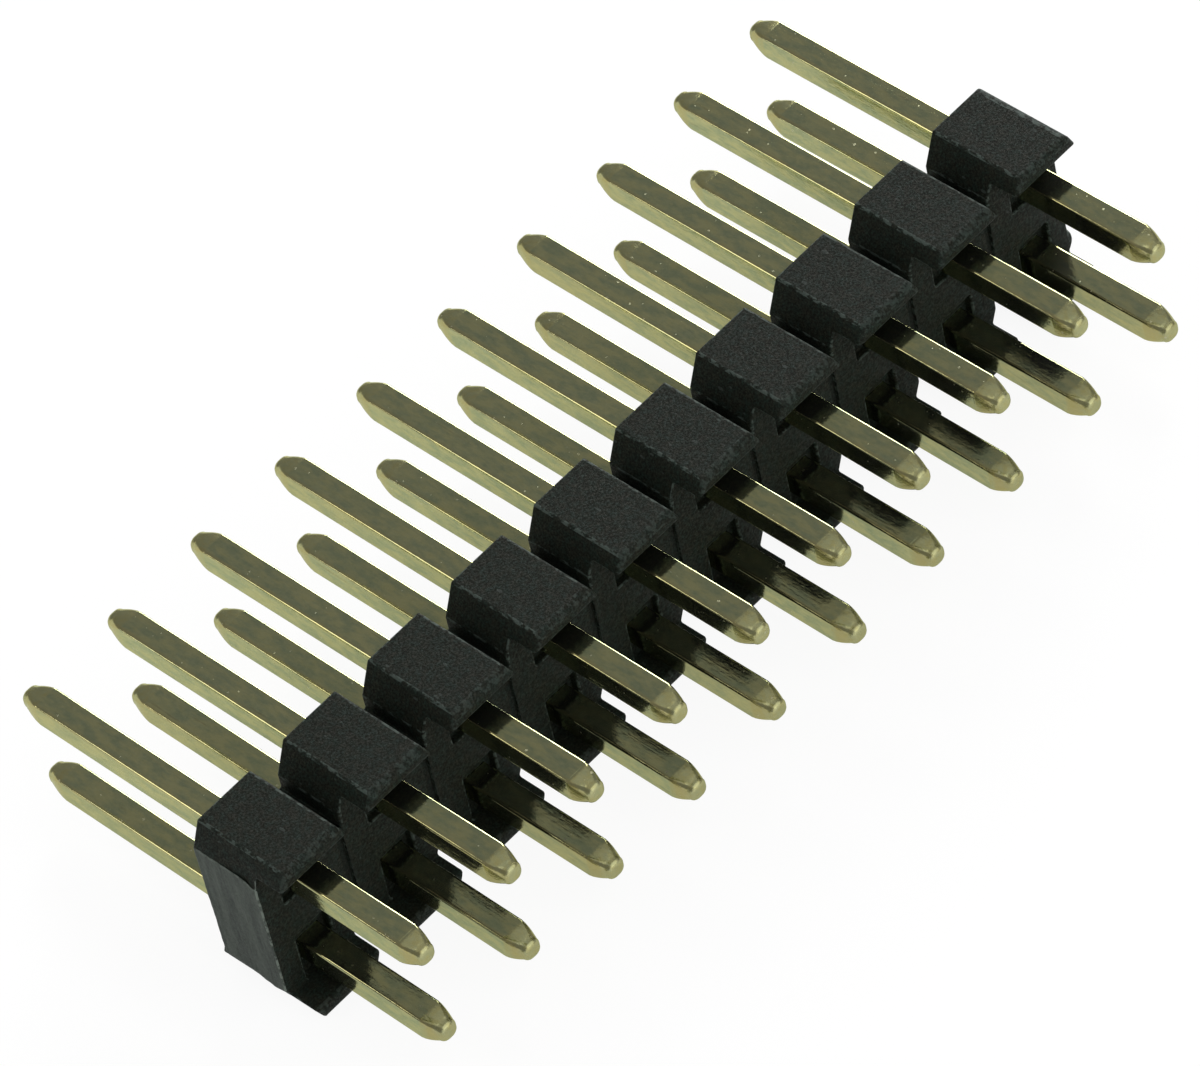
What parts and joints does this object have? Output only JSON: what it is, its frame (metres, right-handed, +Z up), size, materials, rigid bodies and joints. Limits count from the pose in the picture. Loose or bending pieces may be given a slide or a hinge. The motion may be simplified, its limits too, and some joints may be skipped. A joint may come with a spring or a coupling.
{
  "type": "pin header strip",
  "caption": "Straight double-row pin header strip: square coined pins pressed through a notched black housing, for soldering to a board and mating with a socket.",
  "frame": {"origin": "middle of the strip and of the pins' length, on the surface that the housing lies on", "axes": "+X along the strip, +Y towards the long mating ends of the pins, -Y towards the solder tails and the board, +Z up across the two rows as the strip lies on its side"},
  "size_m": [0.025, 0.0116, 0.0048],
  "materials": {
    "housing": "near-black glass-filled moulding with a fine mottled grain, pale scuffs along its edges and a rougher grey face where it was snapped off",
    "pin": "pale gold plating, slightly dulled, with fine drawing lines and brighter coined tips"
  },
  "bodies": {
    "root": {"housing": "housing", "lower_pin_1": "pin", "lower_pin_2": "pin", "lower_pin_3": "pin", "lower_pin_4": "pin", "lower_pin_5": "pin", "lower_pin_6": "pin", "lower_pin_7": "pin", "lower_pin_8": "pin", "lower_pin_9": "pin", "lower_pin_10": "pin", "upper_pin_1": "pin", "upper_pin_2": "pin", "upper_pin_3": "pin", "upper_pin_4": "pin", "upper_pin_5": "pin", "upper_pin_6": "pin", "upper_pin_7": "pin", "upper_pin_8": "pin", "upper_pin_9": "pin", "upper_pin_10": "pin"}
  },
  "joints": []
}
